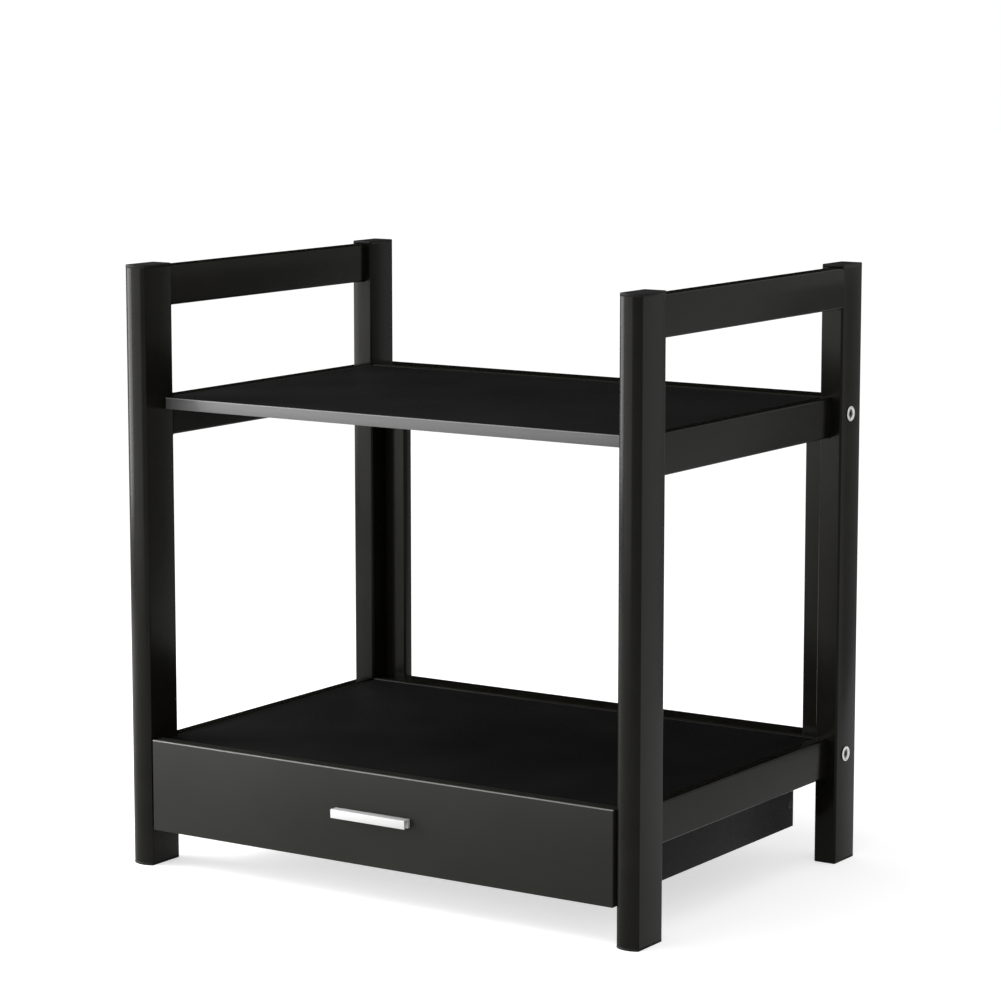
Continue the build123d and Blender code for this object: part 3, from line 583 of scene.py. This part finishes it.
# ---- Slide screws -------------------------------------------------------------------
# Small countersunk screws from the open side of the outer and inner members, into the
# rail and into the drawer side.
for name, body, member, web, facing in (
    ("slide_rail_screws", "frame", "right_slide_cabinet_member", 0.0012, -1),
    ("slide_drawer_screws", "drawer", "right_slide_drawer_member", 0.001, 1),
):
    low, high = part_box(name)
    member_low, member_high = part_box(member)
    face_x = member_high.x - web if facing < 0 else member_low.x + web
    head = 0.003
    rows = (low.y + head, (low.y + high.y) / 2, high.y - head)
    places = [((side * face_x, y, (low.z + high.z) / 2), (side * facing, 0, 0))
              for side in (-1, 1) for y in rows]
    dress(screw_set(f"{name}_set", sunk_screw(head, web, 0.0015, 0.009), places), zinc,
          "zinc_steel", body, name)

# ---- Floor, light and camera --------------------------------------------------------
# Plain white floor that keeps the object's shadow, a white room and three softboxes. A
# black card and a grey one show only in reflections, and keep flat glossy faces dark.


def seen_directly(tree):
    """1 for camera, glossy and transmission rays, and 0 for the light that falls on the object."""
    ray = tree.nodes.new("ShaderNodeLightPath")
    seen = tree.nodes.new("ShaderNodeMath")
    seen.operation = "MAXIMUM"
    seen_through = tree.nodes.new("ShaderNodeMath")
    seen_through.operation = "MAXIMUM"
    tree.links.new(ray.outputs["Is Camera Ray"], seen.inputs[0])
    tree.links.new(ray.outputs["Is Glossy Ray"], seen.inputs[1])
    tree.links.new(seen.outputs["Value"], seen_through.inputs[0])
    tree.links.new(ray.outputs["Is Transmission Ray"], seen_through.inputs[1])
    return seen_through.outputs["Value"]


bpy.ops.object.select_all(action="DESELECT")
bpy.ops.mesh.primitive_plane_add(size=30.0, location=(0, 0, 0))
floor = bpy.context.object
floor.name = "floor"
pale = bpy.data.materials.new("pale_floor")
pale.use_nodes = True
nodes, links = pale.node_tree.nodes, pale.node_tree.links
shader = nodes["Principled BSDF"]
shader.inputs["Base Color"].default_value = (0.7, 0.7, 0.7, 1)
shader.inputs["Roughness"].default_value = 0.9
shader.inputs["Specular IOR Level"].default_value = 0.1
lift = nodes.new("ShaderNodeMath")
lift.operation = "MULTIPLY"
lift.inputs[1].default_value = 0.6
shader.inputs["Emission Color"].default_value = (1, 1, 1, 1)
links.new(seen_directly(pale.node_tree), lift.inputs[0])
links.new(lift.outputs["Value"], shader.inputs["Emission Strength"])
floor.data.materials.append(pale)

world = bpy.data.worlds.new("studio")
bpy.context.scene.world = world
world.use_nodes = True
nodes, links = world.node_tree.nodes, world.node_tree.links
sky = nodes["Background"]
sky.inputs["Color"].default_value = (1, 1, 1, 1)
level = nodes.new("ShaderNodeMapRange")
level.inputs["To Min"].default_value = 0.6
level.inputs["To Max"].default_value = 1.0
links.new(seen_directly(world.node_tree), level.inputs["Value"])
links.new(level.outputs["Result"], sky.inputs["Strength"])

for name, place, turn, width, height, tone in (
    ("black_card", (-1.0, 1.15, 0.85), 0.0, 2.3, 1.7, 0.003),
    ("grey_card", (0.62, 0.98, 0.25), math.pi / 2, 0.6, 0.5, 0.5),
):
    bpy.ops.mesh.primitive_plane_add(size=1.0, location=place, rotation=(math.pi / 2, 0, turn))
    card = bpy.context.object
    card.name = name
    card.scale = (width, height, 1.0)
    matt = bpy.data.materials.new(name)
    matt.use_nodes = True
    shader = matt.node_tree.nodes["Principled BSDF"]
    shader.inputs["Base Color"].default_value = (tone, tone, tone, 1)
    shader.inputs["Specular IOR Level"].default_value = 0.0
    card.data.materials.append(matt)
    card.visible_camera = False
    card.visible_diffuse = False
    card.visible_shadow = False
    card.visible_transmission = False

for name, place, aim, width, height, power in (
    ("side_softbox", (-1.36, -0.62, 0.66), (0, -0.1, 0.3), 0.79, 1.08, 30.0),
    ("front_softbox", (-0.78, -1.62, 0.42), (0, -0.19, 0.3), 1.5, 0.8, 15.0),
    ("top_softbox", (0.3, -0.9, 2.4), (0, 0, 0.2), 1.6, 1.2, 10.0),
):
    lamp = bpy.data.lights.new(name, "AREA")
    lamp.shape = "RECTANGLE"
    lamp.size = width
    lamp.size_y = height
    lamp.energy = power
    softbox = bpy.data.objects.new(name, lamp)
    bpy.context.collection.objects.link(softbox)
    softbox.location = place
    softbox.rotation_euler = (Vector(aim) - Vector(place)).to_track_quat("-Z", "Y").to_euler()
    softbox.visible_camera = False

camera_pitch, camera_turn = 0.1484, 0.5828
bpy.ops.object.camera_add(
    location=(1.7378, -2.6225, 0.8115),
    rotation=(math.pi / 2 - camera_pitch, 0, camera_turn),
)
camera = bpy.context.object
camera.data.sensor_width = 36.0
camera.data.lens = 123.94
bpy.context.scene.camera = camera
bpy.context.scene.view_settings.view_transform = "Standard"
